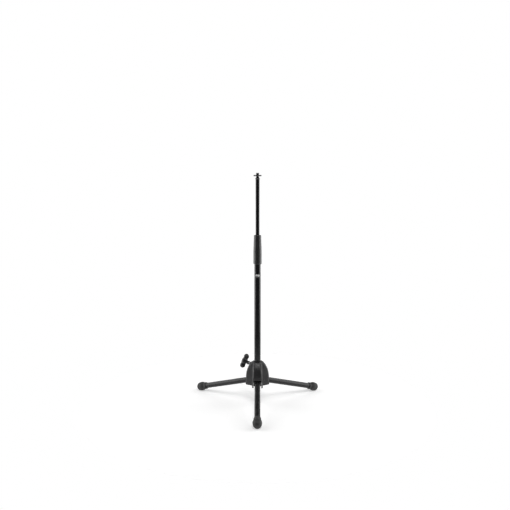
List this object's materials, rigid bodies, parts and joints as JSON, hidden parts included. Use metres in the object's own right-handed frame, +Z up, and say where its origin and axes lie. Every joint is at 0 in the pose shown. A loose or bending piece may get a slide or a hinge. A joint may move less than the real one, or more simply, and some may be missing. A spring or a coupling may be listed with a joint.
{
  "type": "microphone stand",
  "caption": "Short tripod microphone stand with folding legs, a mast clamped in a cast hub by a wing screw, a twist clutch and an extending threaded rod.",
  "frame": {"origin": "on the floor, on the mast's axis", "axes": "+Z up along the mast; -Y towards the front leg"},
  "size_m": [0.4078, 0.3567, 0.7286],
  "materials": {
    "cast_paint": "fine-textured satin powder coat",
    "tube_paint": "satin powder coat",
    "rod_paint": "glossy enamel",
    "grip_plastic": "matte moulded",
    "knob_plastic": "semi-gloss moulded",
    "nylon": "matte",
    "foot_rubber": "matte",
    "zinc_steel": "bright zinc plated",
    "dark_steel": "black oxide",
    "nut_steel": "black nickel, knurled edge",
    "label": "satin film"
  },
  "bodies": {
    "hub": {"hub_casting": "cast_paint", "leg_pin_front": "dark_steel", "leg_pin_right": "dark_steel", "leg_pin_left": "dark_steel"},
    "mast_plug": {"mast_end_plug": "nylon"},
    "mast": {"mast_tube": "tube_paint", "mast_label": "label", "clutch_body": "nylon"},
    "clutch_collet": {"clutch_collet": "nylon"},
    "clutch_grip": {"clutch_grip": "grip_plastic"},
    "rod_guide": {"rod_guide": "nylon"},
    "rod": {"rod_tube": "rod_paint", "rod_end_plug": "nylon", "rod_retaining_ring": "zinc_steel", "rod_tip": "dark_steel", "thread_stud": "dark_steel"},
    "lock_nut": {"lock_nut": "nut_steel"},
    "clamp_pad": {"clamp_pad": "nylon"},
    "clamp_screw": {"clamp_screw": "zinc_steel", "clamp_knob": "knob_plastic"},
    "leg_front": {"leg_tube_front": "tube_paint", "leg_knuckle_front": "nylon", "leg_foot_front": "foot_rubber"},
    "leg_right": {"leg_tube_right": "tube_paint", "leg_knuckle_right": "nylon", "leg_foot_right": "foot_rubber"},
    "leg_left": {"leg_tube_left": "tube_paint", "leg_knuckle_left": "nylon", "leg_foot_left": "foot_rubber"}
  },
  "joints": [
    {"name": "leg_fold_front", "type": "hinge", "parent": "hub", "child": "leg_front", "pos_m": [0, -0.018, 0.07211], "axis": [1, 0, 0], "range_deg": [0, 73.7]},
    {"name": "leg_fold_right", "type": "hinge", "parent": "hub", "child": "leg_right", "pos_m": [0.01559, 0.009, 0.07211], "axis": [-0.5, 0.866, 0], "range_deg": [0, 73.7]},
    {"name": "leg_fold_left", "type": "hinge", "parent": "hub", "child": "leg_left", "pos_m": [-0.01559, 0.009, 0.07211], "axis": [-0.5, -0.866, 0], "range_deg": [0, 73.7]},
    {"name": "mast_lift", "type": "slide", "parent": "hub", "child": "mast_plug", "axis": [0, 0, 1], "range_m": [0, 0.012]},
    {"name": "mast_turn", "type": "hinge", "parent": "mast_plug", "child": "mast", "pos_m": [0, 0, 0.08625], "axis": [0, 0, 1], "continuous": true},
    {"name": "clutch_travel", "type": "slide", "parent": "mast", "child": "clutch_collet", "axis": [0, 0, 1], "range_m": [0, 0.001]},
    {"name": "clutch_turn", "type": "hinge", "parent": "clutch_collet", "child": "clutch_grip", "pos_m": [0, 0, 0.44615], "axis": [0, 0, 1], "range_deg": [0, 180]},
    {"name": "rod_slide", "type": "slide", "parent": "mast", "child": "rod_guide", "axis": [0, 0, 1], "range_m": [-0.168, 0.16]},
    {"name": "rod_turn", "type": "hinge", "parent": "rod_guide", "child": "rod", "pos_m": [0, 0, 0.70815], "axis": [0, 0, 1], "continuous": true},
    {"name": "lock_nut_turn", "type": "hinge", "parent": "rod", "child": "lock_nut", "pos_m": [0, 0, 0.71825], "axis": [0, 0, 1], "continuous": true},
    {"name": "clamp_travel", "type": "slide", "parent": "hub", "child": "clamp_pad", "axis": [-0.8304, 0.4794, 0.284], "range_m": [0, 0.0025]},
    {"name": "clamp_turn", "type": "hinge", "parent": "clamp_pad", "child": "clamp_screw", "pos_m": [0, 0, 0.11351], "axis": [-0.8304, 0.4794, 0.284], "range_deg": [0, 720]}
  ],
  "couplings": [
    {"joint": "leg_fold_front", "follows": "mast_lift", "rad_per_m": 107.19},
    {"joint": "leg_fold_right", "follows": "mast_lift", "rad_per_m": 107.19},
    {"joint": "leg_fold_left", "follows": "mast_lift", "rad_per_m": 107.19},
    {"joint": "clutch_turn", "follows": "clutch_travel", "rad_per_m": 3141.6},
    {"joint": "clamp_turn", "follows": "clamp_travel", "rad_per_m": 5026.5}
  ]
}
